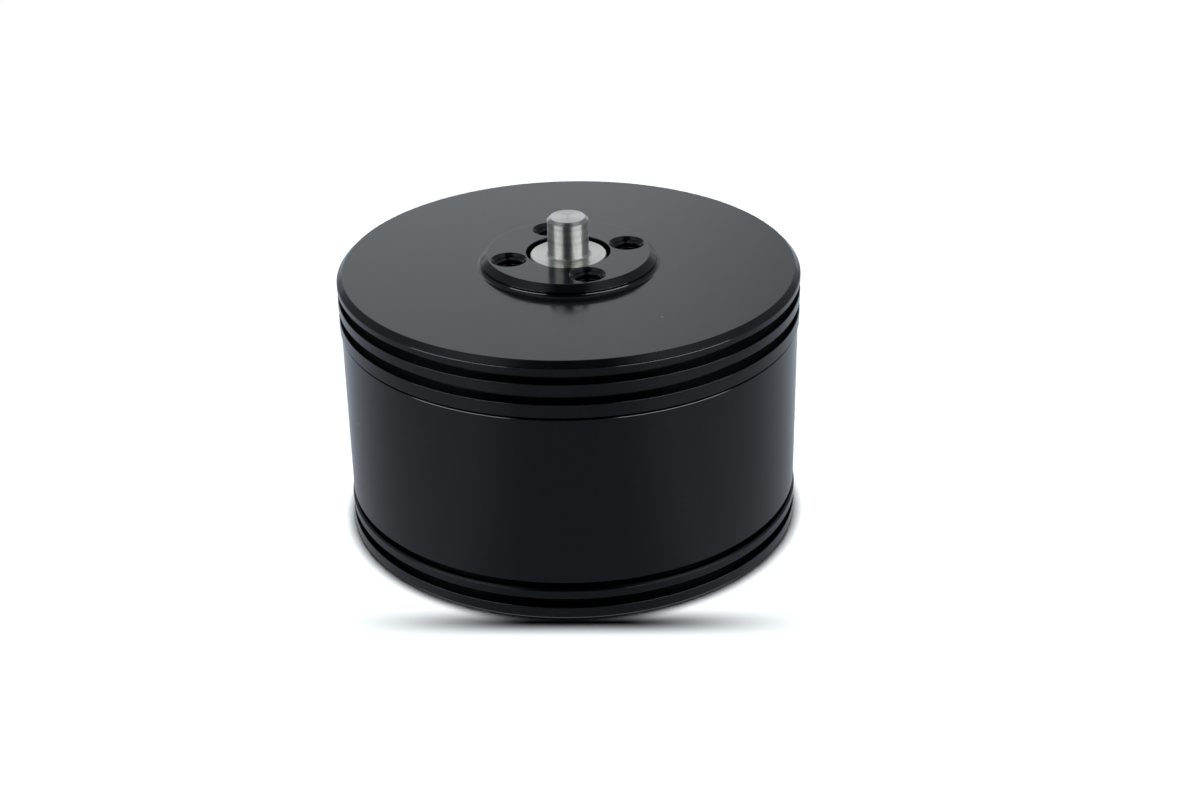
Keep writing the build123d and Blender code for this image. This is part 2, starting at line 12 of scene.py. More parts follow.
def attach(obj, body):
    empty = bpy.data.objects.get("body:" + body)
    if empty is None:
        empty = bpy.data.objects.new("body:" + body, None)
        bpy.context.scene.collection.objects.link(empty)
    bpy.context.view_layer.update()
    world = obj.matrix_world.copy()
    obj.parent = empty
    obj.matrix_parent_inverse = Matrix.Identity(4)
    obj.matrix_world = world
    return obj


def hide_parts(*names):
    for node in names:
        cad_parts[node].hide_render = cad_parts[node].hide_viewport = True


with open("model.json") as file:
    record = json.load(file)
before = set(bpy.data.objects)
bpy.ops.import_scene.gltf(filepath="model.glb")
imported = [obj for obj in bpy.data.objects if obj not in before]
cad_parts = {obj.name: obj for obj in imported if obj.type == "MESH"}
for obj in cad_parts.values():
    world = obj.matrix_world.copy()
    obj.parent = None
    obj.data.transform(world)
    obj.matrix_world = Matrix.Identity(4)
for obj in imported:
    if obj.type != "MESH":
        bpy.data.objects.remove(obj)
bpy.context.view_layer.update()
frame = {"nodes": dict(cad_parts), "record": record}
nodes = frame["nodes"]

# Sizes in millimetres, as in the part's source
MM = 0.001
STEPS = 240                # divisions of every turned surface
STEP = 360 / STEPS
GUARD = 0.03               # support point beside each small round
EDGE = 0.1                 # round on a visible edge that looks sharp
HIDDEN = 0.0               # hidden edges and the grooves' inner corners stay sharp

BODY_R = 45.0
BODY_TOP = 53.2
SEAM_Z = 42.1              # front end of the can
BOSS_TOP = 55.45
BOSS_R = 15.9
GROOVE_R = 43.4
SPIGOT_R, SPIGOT_IN_R = 41.7, 36.0
SEAL_R = 40.5
BOLT_CIRCLE_R, BOLT_ANGLES = 38.2, (45, 135, 225, 315)
TAP_CIRCLE_R, TAP_ANGLES = 12.0, (17, 107, 197, 287)
TAP_MOUTH_R, TAP_DEPTH = 3.5, 8.0
TAP_LAND = 0.08            # boss face round a mouth that belongs to the mouth's own surface
THREAD_MINOR_R, THREAD_MAJOR_R, THREAD_PITCH = 2.5, 3.0, 1.0
THREAD_SEEN = 4.3          # depth down to which the thread has fine rows
CONE_FOOT = 0.3            # depth to which the mouth's cone has its own surface
POST_CIRCLE_R, POST_ANGLES = 31.0, (60, 180, 300)


def unit(v):
    return v / np.hypot(*v)


def softened(corners):
    """Outline through (radius, height, round) corners. Each round is the arc that touches both
    sides of its corner, with a guard point just beyond each end of the arc. A round of 0 leaves
    the corner as it is."""
    p = np.array([c[:2] for c in corners], float)
    out = [p[:1]]
    for i in range(1, len(p) - 1):
        radius = corners[i][2] if len(corners[i]) > 2 else EDGE
        if radius == 0:
            out.append(p[i:i + 1])
            continue
        u, v = unit(p[i] - p[i - 1]), unit(p[i + 1] - p[i])
        cross = u[0] * v[1] - u[1] * v[0]
        bend = math.atan2(abs(cross), u @ v)
        reach = radius * math.tan(bend / 2)
        side = math.copysign(radius, cross) * np.array([-u[1], u[0]])
        a = np.linspace(0, bend, 4 + int(8 * radius))[:, None]
        arc = p[i] - u * reach + side * (1 - np.cos(a)) + u * radius * np.sin(a)
        out += [[p[i] - u * (reach + GUARD)], arc, [p[i] + v * (reach + GUARD)]]
    out.append(p[-1:])
    return np.vstack(out)


def grid(points, closed):
    """Four-sided faces over a sheet of points, joined end to end across its columns if closed."""
    rows, cols = points.shape[:2]
    index = np.arange(rows * cols).reshape(rows, cols)
    if closed:
        index = np.hstack([index, index[:, :1]])
    quads = np.stack([index[:-1, :-1], index[:-1, 1:], index[1:, 1:], index[1:, :-1]], axis=-1)
    return points.reshape(-1, 3), quads.reshape(-1, 4)


ALL_ROUND = np.radians(np.arange(STEPS) * STEP)


def turned(outline, turns=ALL_ROUND, centre=(0.0, 0.0)):
    """Surface of revolution: each (radius, height) of the outline at each of the angles."""
    r, z = outline[:, :1], outline[:, 1:]
    sheet = [centre[0] + r * np.cos(turns), centre[1] + r * np.sin(turns), z + 0 * turns]
    return grid(np.stack(sheet, axis=-1), closed=True)


def polar(r, turns):
    r, turns = np.broadcast_arrays(r, turns)
    return np.stack([r * np.cos(turns), r * np.sin(turns)], axis=-1)


def at_height(flat, z):
    return np.concatenate([flat, np.full(flat.shape[:-1] + (1,), z)], axis=-1)


def drilled_ring(z, r_in, r_out, circle_r, hole_r, angles, half_block, rows=8, rims=None):
    """Flat ring with round holes. In a block round each hole, straight lines run from the hole's
    circle to the block's four sides, and polar grids fill the arcs between the blocks.
    Gives the grids, and for each hole its centre and the angles of its circle's points."""
    radii = np.linspace(r_in, r_out, rows + 1)
    share = np.linspace(0, 1, rows + 1)[:, None, None]
    starts = [round(a / STEP) - half_block for a in angles]
    grids, holes = [], []
    for i, (angle, start) in enumerate(zip(angles, starts)):
        turns = np.radians(np.arange(start, start + 2 * half_block + 1) * STEP)
        sides = [polar(r_in, turns), polar(radii[1:], turns[-1]),
                 polar(r_out, turns[-2::-1]), polar(radii[-2:0:-1], turns[0])]
        border = np.vstack(sides)
        centre = polar(circle_r, np.radians(angle))
        look = border - centre
        rim = np.arctan2(look[:, 1], look[:, 0]) if rims is None else rims[i]
        block = (1 - share) * (centre + polar(hole_r, rim)) + share * border
        grids.append(grid(at_height(block, z), closed=True))
        holes.append((centre, rim))
        stop = starts[(i + 1) % len(starts)] + (STEPS if i + 1 == len(starts) else 0)
        if stop > start + 2 * half_block:
            arc = np.radians(np.arange(start + 2 * half_block, stop + 1) * STEP)
            grids.append(grid(at_height(polar(radii[:, None], arc), z), closed=False))
    return grids, holes


def tapped_hole(centre, rim):
    """Tapped hole below the boss face: a countersunk mouth, then a wall whose radius at every
    height is the larger of the mouth's cone and the thread. The thread's flanks rise and fall
    once a pitch and climb one pitch a turn, and fade out above the flat floor."""
    floor, middle = BOSS_TOP - TAP_DEPTH, BOSS_TOP - THREAD_SEEN
    mouth = softened([(TAP_MOUTH_R + TAP_LAND, BOSS_TOP), (TAP_MOUTH_R, BOSS_TOP),
                      (TAP_MOUTH_R - CONE_FOOT, BOSS_TOP - CONE_FOOT)])
    z = np.concatenate([np.linspace(BOSS_TOP - CONE_FOOT, middle, 65),
                        np.linspace(middle, floor, 25)[1:]])[:, None]
    climb = np.abs((z / THREAD_PITCH + rim / (2 * np.pi)) % 1 * 2 - 1)
    flank = np.clip(1.3 * climb - 0.15, 0, 1) * np.clip((z - floor - 0.5) / 1.0, 0, 1)
    thread = THREAD_MINOR_R + (THREAD_MAJOR_R - THREAD_MINOR_R) * flank
    r = np.maximum(thread, TAP_MOUTH_R - (BOSS_TOP - z))
    wall = np.stack([centre[0] + r * np.cos(rim), centre[1] + r * np.sin(rim), z + 0 * rim],
                    axis=-1)
    end = np.array([(THREAD_MINOR_R, floor), (0, floor)])
    return [turned(mouth, rim, centre), grid(wall, closed=True), turned(end, rim, centre)]


def front_cover():
    boss_in_r, boss_out_r = 8.2 + EDGE + GUARD, BOSS_R - 0.16
    outside = [(boss_out_r, BOSS_TOP), (BOSS_R, BOSS_TOP, 0.25), (BOSS_R + 1.2, 54.25),
               (BOSS_R + 1.2, BODY_TOP, 0.7), (43.9, BODY_TOP, 0.25), (BODY_R, 52.1, 0.5),
               (BODY_R, 50.99), (GROOVE_R, 50.99, HIDDEN), (GROOVE_R, 48.94, HIDDEN),
               (BODY_R, 48.94), (BODY_R, 47.0), (GROOVE_R, 47.0, HIDDEN),
               (GROOVE_R, 44.95, HIDDEN), (BODY_R, 44.95),
               (BODY_R, SEAM_Z + 0.3), (44.7, SEAM_Z)]
    outside += [(r, z, HIDDEN) for r, z in (
        (SPIGOT_R, SEAM_Z), (SPIGOT_R, 41.0), (SEAL_R, 41.0), (SEAL_R, 39.2), (SPIGOT_R, 39.2),
        (SPIGOT_R, 38.1), (SPIGOT_R - 0.3, 38.1))]
    inside = [(r, z, HIDDEN) for r, z in (
        (SPIGOT_IN_R + 0.3, 38.1), (SPIGOT_IN_R, 38.1), (SPIGOT_IN_R, 46.2), (16.0, 46.2),
        (16.0, 38.6), (12.02, 38.6), (12.02, 39.75), (12.6, 39.75), (12.6, 40.98),
        (12.02, 40.98), (12.02, 46.0), (10.607, 46.0), (10.607, 46.5), (8.2, 46.5))]
    inside += [(8.2, BOSS_TOP), (boss_in_r, BOSS_TOP)]
    face, taps = drilled_ring(BOSS_TOP, boss_in_r, boss_out_r, TAP_CIRCLE_R,
                              TAP_MOUTH_R + TAP_LAND, TAP_ANGLES, half_block=30)
    end, bolts = drilled_ring(38.1, SPIGOT_IN_R + 0.3, SPIGOT_R - 0.3, BOLT_CIRCLE_R, 1.55,
                              BOLT_ANGLES, half_block=8)
    grids = [turned(softened(outside)), turned(softened(inside)), *face, *end]
    for centre, rim in taps:
        grids += tapped_hole(centre, rim)
    for centre, rim in bolts:
        grids.append(turned(np.array([(1.55, 38.1), (1.55, 44.4), (0, 44.4)]), rim, centre))
    return grids


def rear_cover():
    foot_in_r, foot_out_r = 31.0 + 0.15, 44.5 - 0.15
    outside = [(0, 0.8), (31.0, 0.8), (31.0, 0), (foot_in_r, 0)]
    rim_line = [(foot_out_r, 0), (44.5, 0, 0.15), (BODY_R, 0.5, 0.15), (BODY_R, 2.53),
                (GROOVE_R, 2.53, HIDDEN), (GROOVE_R, 4.51, HIDDEN), (BODY_R, 4.51),
                (BODY_R, 6.12, 0.12), (44.7, 6.42, 0.12), (GROOVE_R, 6.42, HIDDEN)]
    rim_line += [(r, z, HIDDEN) for r, z in (
        (GROOVE_R, 7.57), (SPIGOT_R, 7.57), (SPIGOT_R, 8.67), (SEAL_R, 8.67), (SEAL_R, 10.47),
        (SPIGOT_R, 10.47), (SPIGOT_R, 11.57), (SPIGOT_R - 0.3, 11.57))]
    wall = [(SPIGOT_IN_R + 0.3, 11.57), (SPIGOT_IN_R, 11.57, HIDDEN),
            (SPIGOT_IN_R, 6.0, HIDDEN), (SPIGOT_IN_R - 0.4, 6.0)]
    hub = [(15.6, 6.0), (15.0, 6.0, HIDDEN), (15.0, 10.8, HIDDEN), (11.02, 10.8, HIDDEN),
           (11.02, 3.0, HIDDEN), (0, 3.0)]
    foot, bolts = drilled_ring(0, foot_in_r, foot_out_r, BOLT_CIRCLE_R, 2.95 + 0.15,
                               BOLT_ANGLES, half_block=8)
    end, _ = drilled_ring(11.57, SPIGOT_IN_R + 0.3, SPIGOT_R - 0.3, BOLT_CIRCLE_R, 1.7,
                          BOLT_ANGLES, half_block=8, rims=[rim for _, rim in bolts])
    floor, posts = drilled_ring(6.0, 15.6, SPIGOT_IN_R - 0.4, POST_CIRCLE_R, 2.6,
                                POST_ANGLES, half_block=8)
    grids = [turned(softened(outside)), turned(softened(rim_line)), turned(softened(wall)),
             turned(softened(hub)), *foot, *end, *floor]
    for centre, rim in bolts:
        bore = [(2.95 + 0.15, 0), (2.95, 0), (2.95, 3.4), (1.7, 3.4), (1.7, 11.57)]
        grids.append(turned(softened(bore), rim, centre))
    for centre, rim in posts:
        post = [(2.6, 6.0), (2.6, 12.35), (1.05, 12.35), (1.05, 7.4), (0, 7.4)]
        grids.append(turned(softened(post), rim, centre))
    return grids


def piece(name, grids, body, node):
    """One closed mesh from grids that share their border points, in place of a CAD node."""
    starts = np.cumsum([0] + [len(points) for points, _ in grids])
    points = np.vstack([points for points, _ in grids]) * MM
    quads = np.vstack([quads + start for (_, quads), start in zip(grids, starts)])
    mesh = bpy.data.meshes.new(name)
    mesh.from_pydata(points.tolist(), [], quads.tolist())
    work = bmesh.new()
    work.from_mesh(mesh)
    bmesh.ops.remove_doubles(work, verts=work.verts, dist=1e-6)
    bmesh.ops.recalc_face_normals(work, faces=work.faces)
    work.to_mesh(mesh)
    work.free()
    mesh.polygons.foreach_set("use_smooth", np.ones(len(mesh.polygons), bool))
    mesh.set_sharp_from_angle(angle=math.radians(35))
    thing = bpy.data.objects.new(name, mesh)
    bpy.context.scene.collection.objects.link(thing)
    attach(thing, body)
    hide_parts(node)
    return thing


class Tree:
    """Adds nodes to one node tree and joins them."""

    def __init__(self, tree):
        self.tree = tree

    def node(self, kind, **settings):
        made = self.tree.nodes.new(kind)
        for key, value in settings.items():
            setattr(made, key, value)
        return made

    def join(self, source, target):
        self.tree.links.new(source, target)

    def feed(self, node, key, value):
        """Sets a socket to a number, or joins another socket to it."""
        if isinstance(value, bpy.types.NodeSocket):
            self.join(value, node.inputs[key])
        elif value is not None:
            node.inputs[key].default_value = value

    def math(self, operation, a, b=None, c=None, clamp=False):
        made = self.node("ShaderNodeMath", operation=operation, use_clamp=clamp)
        for key, value in enumerate((a, b, c)):
            self.feed(made, key, value)
        return made.outputs[0]

    def length(self, x, y):
        return self.math("SQRT", self.math("ADD", self.math("MULTIPLY", x, x),
                                           self.math("MULTIPLY", y, y)))

    def blend(self, share, a, b):
        made = self.node("ShaderNodeMix", data_type="RGBA")
        self.feed(made, 0, share)
        self.feed(made, 6, a)
        self.feed(made, 7, b)
        return made.outputs[2]

    def between(self, value, low, high, to_low=0.0, to_high=1.0):
        """A value's place between two limits, as a smooth step."""
        made = self.node("ShaderNodeMapRange", interpolation_type="SMOOTHSTEP")
        for key, v in enumerate((value, low, high, to_low, to_high)):
            self.feed(made, key, v)
        return made.outputs[0]

    def noise(self, vector, scale, detail=2.0, dimensions="3D"):
        made = self.node("ShaderNodeTexNoise", noise_dimensions=dimensions)
        self.feed(made, "Vector", vector)
        self.feed(made, "Scale", scale)
        self.feed(made, "Detail", detail)
        return made.outputs["Fac"]


def colour(r, g, b):
    return (r, g, b, 1.0)


def brighter(tone, times):
    return colour(*[min(1, times * c) for c in tone])


def group(name, inputs, outputs):
    """An empty node group with named number inputs and outputs, in millimetres where a size."""
    tree = bpy.data.node_groups.new(name, "ShaderNodeTree")
    for label, value in inputs.items():
        made = tree.interface.new_socket(label, in_out="INPUT", socket_type="NodeSocketFloat")
        made.default_value = value
    for label in outputs:
        tree.interface.new_socket(label, in_out="OUTPUT", socket_type="NodeSocketFloat")
    t = Tree(tree)
    return t, t.node("NodeGroupInput").outputs, t.node("NodeGroupOutput").inputs


def place_mm(t):
    """Object coordinates in millimetres."""
    made = t.node("ShaderNodeVectorMath", operation="SCALE")
    t.feed(made, 0, t.node("ShaderNodeTexCoord").outputs["Object"])
    t.feed(made, 3, 1000.0)
    return made.outputs[0]


def turning_marks():
    """Lines of a lathe tool: noise of distance from the axis and height only, with a slow sway
    round the axis, so that the lines run round the shaft."""
    t, given, out = group("turning_marks", {"Pitch": 0.1, "Sway": 0.3}, ["Lines", "Bands"])
    place = place_mm(t)
    split = t.node("ShaderNodeSeparateXYZ")
    t.feed(split, 0, place)
    x, y, z = split.outputs
    r = t.length(x, y)
    sway = t.math("MULTIPLY", t.noise(place, 0.12, 1.0), given["Sway"])
    across = t.node("ShaderNodeCombineXYZ")
    t.feed(across, 0, t.math("DIVIDE", t.math("ADD", r, sway), given["Pitch"]))
    t.feed(across, 1, t.math("DIVIDE", t.math("ADD", z, sway), given["Pitch"]))
    t.join(t.noise(across.outputs[0], 1.0, 3.0), out["Lines"])
    t.join(t.noise(across.outputs[0], 0.12, 1.0), out["Bands"])
    return t.tree


def grain():
    """Even fine grain at one size, and slow cloudy patches twenty times as large."""
    t, given, out = group("grain", {"Size": 0.1}, ["Grain", "Patches"])
    place = place_mm(t)
    t.join(t.noise(place, t.math("DIVIDE", 1.0, given["Size"]), 2.0), out["Grain"])
    t.join(t.noise(place, t.math("DIVIDE", 0.05, given["Size"]), 2.0), out["Patches"])
    return t.tree


def dust_specks():
    """Scattered specks: a small blob about the middle of a few cells of a cell pattern."""
    t, given, out = group("dust_specks", {"Cell": 4.0, "Size": 0.12, "Share": 0.1}, ["Specks"])
    cells = t.node("ShaderNodeTexVoronoi")
    place = place_mm(t)
    wobble = t.node("ShaderNodeTexNoise")
    t.feed(wobble, "Vector", place)
    t.feed(wobble, "Scale", 4.0)
    nudged = t.node("ShaderNodeVectorMath", operation="MULTIPLY_ADD")
    t.feed(nudged, 0, wobble.outputs["Color"])
    nudged.inputs[1].default_value = (0.25, 0.25, 0.25)
    t.feed(nudged, 2, place)
    t.feed(cells, "Vector", nudged.outputs[0])
    t.feed(cells, "Scale", t.math("DIVIDE", 1.0, given["Cell"]))
    near = t.math("LESS_THAN", t.math("MULTIPLY", cells.outputs["Distance"], given["Cell"]),
                  given["Size"])
    pick = t.node("ShaderNodeSeparateColor")
    t.feed(pick, 0, cells.outputs["Color"])
    t.join(t.math("MULTIPLY", near, t.math("LESS_THAN", pick.outputs[0], given["Share"])),
           out["Specks"])
    return t.tree


def worn_edges():
    """Edges rubbed by handling: where the surface is most convex, broken up by noise."""
    t, given, out = group("worn_edges", {"Start": 0.56, "End": 0.7, "Break": 0.4}, ["Wear"])
    sharp = t.between(t.node("ShaderNodeNewGeometry").outputs["Pointiness"],
                      given["Start"], given["End"])
    broken = t.between(t.noise(place_mm(t), 0.9, 4.0), given["Break"], 0.75)
    t.join(t.math("MULTIPLY", sharp, broken), out["Wear"])
    return t.tree


GROUPS = {tree.name: tree for tree in (turning_marks(), grain(), dust_specks(), worn_edges())}


def put(t, name, **values):
    """Places a shared group in a material with its own values."""
    made = t.node("ShaderNodeGroup", node_tree=GROUPS[name])
    for key, value in values.items():
        made.inputs[key].default_value = value
    return made.outputs


def finish_of(name, **constants):
    """A new material with a Principled shader; gives the tree and the shader."""
    made = bpy.data.materials.new(name)
    made.use_nodes = True
    t = Tree(made.node_tree)
    shader = made.node_tree.nodes["Principled BSDF"]
    for key, value in constants.items():
        shader.inputs[key.replace("_", " ")].default_value = value
    return made, t, shader


def raised(t, shader, height, depth_mm):
    """Joins a height, 0 to 1 over depth_mm, to the shader's normal."""
    made = t.node("ShaderNodeBump")
    made.inputs["Strength"].default_value = 1.0
    made.inputs["Distance"].default_value = depth_mm * MM
    t.feed(made, "Height", height)
    t.join(made.outputs[0], shader.inputs["Normal"])


def black_anodised():
    """Satin black. The height falls by 0.13 mm over the last 0.4 mm below the seam, an easing of
    the can's front end."""
    relief, ease_width, ease_times = 0.0006, 0.4, 216.0
    made, t, shader = finish_of("black_anodised", IOR=1.5)
    fine = put(t, "grain", Size=0.12)
    lines = put(t, "turning_marks", Pitch=0.05, Sway=0.1)
    specks = put(t, "dust_specks", Cell=3.4, Size=0.11, Share=0.045)
    wear = put(t, "worn_edges", Start=0.62, End=0.85, Break=0.5)
    base = t.blend(fine["Patches"], colour(0.0016, 0.0018, 0.0023),
                   colour(0.0028, 0.0031, 0.0038))
    base = t.blend(t.math("MULTIPLY", wear["Wear"], 0.12), base, colour(0.10, 0.105, 0.115))
    base = t.blend(specks["Specks"], base, colour(0.3, 0.3, 0.3))
    t.join(base, shader.inputs["Base Color"])
    rough = t.between(fine["Patches"], 0.3, 0.7, 0.11, 0.15)
    t.join(t.math("ADD", rough, t.math("MULTIPLY", specks["Specks"], 0.5)),
           shader.inputs["Roughness"])
    height = t.math("ADD", t.math("MULTIPLY", fine["Grain"], 0.5),
                    t.math("MULTIPLY", lines["Lines"], 0.5))
    split = t.node("ShaderNodeSeparateXYZ")
    t.feed(split, 0, place_mm(t))
    can_end = t.math("MULTIPLY_ADD", split.outputs["Z"], -1 / ease_width, SEAM_Z / ease_width,
                     clamp=True)
    raised(t, shader, t.math("MULTIPLY_ADD", can_end, ease_times, height), relief)
    return made


def turned_steel():
    """Bright steel from the lathe. Round the shaft the marks spread a reflection up and down
    much more than sideways; on the end faces they are finer."""
    made, t, shader = finish_of("turned_steel", Metallic=1.0, Anisotropic_Rotation=0.25)
    lines = put(t, "turning_marks", Pitch=0.28, Sway=0.05)
    marks = t.between(lines["Lines"], 0.35, 0.65)
    fine = put(t, "grain", Size=0.2)
    split = t.node("ShaderNodeSeparateXYZ")
    t.feed(split, 0, t.node("ShaderNodeNewGeometry").outputs["True Normal"])
    side = t.between(t.math("ABSOLUTE", split.outputs["Z"]), 0.2, 0.9, 1.0, 0.0)
    base = t.blend(marks, colour(0.60, 0.585, 0.54), colour(0.80, 0.78, 0.73))
    t.join(t.blend(t.math("MULTIPLY", fine["Patches"], 0.35), base, colour(0.56, 0.525, 0.48)),
           shader.inputs["Base Color"])
    rough = t.math("MULTIPLY_ADD", marks, 0.16, 0.25)
    t.join(t.math("MULTIPLY_ADD", side, 0.06, rough), shader.inputs["Roughness"])
    t.join(t.math("MULTIPLY_ADD", side, 0.4, 0.5), shader.inputs["Anisotropic"])
    tangent = t.node("ShaderNodeTangent", direction_type="RADIAL", axis="Z")
    t.join(tangent.outputs[0], shader.inputs["Tangent"])
    raised(t, shader, marks, 0.004)
    return made


def metal(name, dark, light, rough, grain_size=0.15, pitch=0.12, marks=0.001):
    """Plain machined or rolled metal: tone and gloss vary with fine lines and patches."""
    made, t, shader = finish_of(name, Metallic=1.0)
    lines = put(t, "turning_marks", Pitch=pitch, Sway=0.1)
    fine = put(t, "grain", Size=grain_size)
    wear = put(t, "worn_edges")
    base = t.blend(lines["Lines"], colour(*dark), colour(*light))
    base = t.blend(t.math("MULTIPLY", wear["Wear"], 0.4), base, brighter(light, 1.25))
    t.join(base, shader.inputs["Base Color"])
    t.join(t.between(fine["Patches"], 0.25, 0.75, rough - 0.06, rough + 0.06),
           shader.inputs["Roughness"])
    raised(t, shader, t.math("ADD", lines["Lines"], fine["Grain"]), marks)
    return made


def dull(name, dark, light, rough, size=0.25, depth=0.01, **constants):
    """Rubber, plastic or paint: fine moulded grain, slow patches and rubbed edges."""
    made, t, shader = finish_of(name, **constants)
    fine = put(t, "grain", Size=size)
    wear = put(t, "worn_edges")
    base = t.blend(fine["Patches"], colour(*dark), colour(*light))
    base = t.blend(t.math("MULTIPLY", wear["Wear"], 0.3), base, brighter(light, 1.8))
    t.join(base, shader.inputs["Base Color"])
    t.join(t.between(fine["Grain"], 0.3, 0.7, rough - 0.05, rough + 0.05),
           shader.inputs["Roughness"])
    raised(t, shader, fine["Grain"], depth)
    return made


def banded(name, dark, light, rough, axis, pitch, depth, **constants):
    """Stacked sheets or wound wire: round-backed bands along the height or away from the axis.
    Their colour darkens towards their edges as painted shade in the hollows between them.
    """
    made, t, shader = finish_of(name, **constants)
    split = t.node("ShaderNodeSeparateXYZ")
    t.feed(split, 0, place_mm(t))
    x, y, z = split.outputs
    along = z if axis == "height" else t.length(x, y)
    wave = t.math("ABSOLUTE", t.math("SINE", t.math("MULTIPLY", along, math.pi / pitch)))
    fine = put(t, "grain", Size=0.1)
    # Painted shade: the colour darkens towards the edges of each round back, in the hollows
    # between turns and sheets
    base = t.blend(t.math("POWER", wave, 0.5), colour(*dark), colour(*light))
    t.join(base, shader.inputs["Base Color"])
    t.join(t.between(fine["Grain"], 0.3, 0.7, rough - 0.05, rough + 0.05),
           shader.inputs["Roughness"])
    raised(t, shader, t.math("POWER", wave, 0.5), depth)
    return made


FINISHES = {
    "black_anodised": black_anodised(),
    "turned_steel": turned_steel(),
    "seal_rubber": dull("seal_rubber", (0.012, 0.012, 0.012), (0.02, 0.02, 0.02), 0.45),
    "grommet_rubber": dull("grommet_rubber", (0.010, 0.010, 0.011), (0.018, 0.018, 0.019), 0.5),
    "black_oxide_steel": metal("black_oxide_steel", (0.02, 0.02, 0.022), (0.045, 0.045, 0.048),
                               0.38),
    "lamination_steel": banded("lamination_steel", (0.13, 0.125, 0.12), (0.32, 0.31, 0.30), 0.4,
                               "height", 0.35, 0.02, Metallic=1.0),
    "insulator_plastic": dull("insulator_plastic", (0.62, 0.60, 0.53), (0.70, 0.68, 0.61), 0.42),
    "enamelled_copper": banded("enamelled_copper", (0.25, 0.06, 0.02), (0.72, 0.26, 0.10), 0.26,
                               "radius", 0.72, 0.25, Metallic=0.85, Coat_Weight=0.5),
    "board_laminate": dull("board_laminate", (0.008, 0.06, 0.025), (0.012, 0.085, 0.035), 0.3,
                           size=0.4, depth=0.02),
    "chip_plastic": dull("chip_plastic", (0.014, 0.014, 0.015), (0.024, 0.024, 0.025), 0.5,
                         size=0.08),
    "bright_steel": metal("bright_steel", (0.50, 0.50, 0.49), (0.66, 0.66, 0.65), 0.25),
    "tinned_brass": metal("tinned_brass", (0.60, 0.57, 0.50), (0.74, 0.71, 0.64), 0.3),
    "spring_steel": metal("spring_steel", (0.10, 0.10, 0.105), (0.20, 0.20, 0.205), 0.33),
    "hub_aluminium": metal("hub_aluminium", (0.66, 0.67, 0.68), (0.80, 0.81, 0.82), 0.3),
    "magnet_nickel": metal("magnet_nickel", (0.48, 0.46, 0.43), (0.60, 0.58, 0.54), 0.2),
    "sleeve_steel": metal("sleeve_steel", (0.42, 0.42, 0.42), (0.58, 0.58, 0.58), 0.28),
    "bearing_steel": metal("bearing_steel", (0.60, 0.60, 0.60), (0.72, 0.72, 0.72), 0.16),
    "cage_plastic": dull("cage_plastic", (0.42, 0.36, 0.22), (0.50, 0.43, 0.27), 0.45),
}

for row in frame["record"]["subparts"]:
    slots = nodes[row["node"]].data.materials
    slots.clear()
    slots.append(FINISHES[row["material_slot"]])

for name, grids, node in (("front_cover_turned", front_cover(), "front_cover"),
                          ("rear_cover_turned", rear_cover(), "rear_cover")):
    piece(name, grids, "housing", node).data.materials.append(
        FINISHES["black_anodised"])


def lamp(name, azimuth, elevation, distance, size, power, mirrored):
    """Area lamp aimed at the motor's middle. Azimuth 0 is behind the camera, 90 to its right. A
    mirrored lamp shows in glossy surfaces only, any other in matt surfaces only."""
    a, e = math.radians(azimuth), math.radians(elevation)
    aim = Vector((0, 0, 0.03))
    away = Vector((math.sin(a) * math.cos(e), -math.cos(a) * math.cos(e), math.sin(e)))
    data = bpy.data.lights.new(name, "AREA")
    data.shape = "RECTANGLE"
    data.size, data.size_y = size
    data.energy = power
    data.color = (0.93, 0.97, 1.0)
    made = bpy.data.objects.new(name, data)
    made.location = aim + away * distance
    made.rotation_euler = (-away).to_track_quat("-Z", "Y").to_euler()
    made.visible_glossy, made.visible_diffuse = mirrored, not mirrored
    bpy.context.scene.collection.objects.link(made)


lamp("left_softbox", azimuth=-53.5, elevation=4.7, distance=1.2, size=(1.08, 0.2), power=4.6,
     mirrored=True)
lamp("right_softbox", azimuth=49, elevation=4.7, distance=1.2, size=(1.3, 0.2), power=6.3,
     mirrored=True)
lamp("top_softbox", azimuth=180, elevation=89.5, distance=3.0, size=(0.14, 0.14), power=113.0,
     mirrored=False)


def compass(t, x, y):
    """How far a direction or a place faces the camera's side: 1 in front, 0 sideways, -1
    behind."""
    return t.math("DIVIDE", t.math("MULTIPLY", y, -1), t.length(x, y))


def turn_of(degrees):
    return math.cos(math.radians(degrees))


def height_of(degrees):
    return math.sin(math.radians(degrees))


def studio_world():
    """White for the camera. Reflections see a dim room, darkest in a sector behind the camera,
    with one bright screen low behind the motor that fades upwards and to the right. Diffuse
    light is an even weak grey."""
    world = bpy.data.worlds.new("studio")
    bpy.context.scene.world = world
    world.use_nodes = True
    t = Tree(world.node_tree)
    background = world.node_tree.nodes["Background"]
    split = t.node("ShaderNodeSeparateXYZ")
    t.feed(split, 0, t.node("ShaderNodeTexCoord").outputs["Generated"])
    x, y, z = split.outputs
    facing = compass(t, x, y)
    sides = t.between(facing, turn_of(105), turn_of(70))
    room = t.blend(sides, colour(0.20, 0.22, 0.25), colour(0.38, 0.43, 0.48))
    front = t.between(facing, turn_of(60), turn_of(25))
    room = t.blend(front, room, colour(0.01, 0.011, 0.013))
    screen = t.between(facing, turn_of(158), turn_of(138), 1.0, 0.0)
    screen = t.math("MULTIPLY", screen, t.between(z, height_of(0), height_of(5)))
    screen = t.math("MULTIPLY", screen, t.between(z, height_of(20), height_of(50), 1.0, 0.0))
    screen = t.math("MULTIPLY", screen, t.between(x, 0.01, 0.16, 1.0, 0.5))
    room = t.blend(screen, room, colour(0.90, 0.965, 1.01))
    path = t.node("ShaderNodeLightPath").outputs
    level = t.blend(path["Is Diffuse Ray"], room, colour(0.02, 0.02, 0.02))
    level = t.blend(path["Is Camera Ray"], level, colour(1, 1, 1))
    t.join(level, background.inputs["Color"])
    background.inputs["Strength"].default_value = 1.0


studio_world()


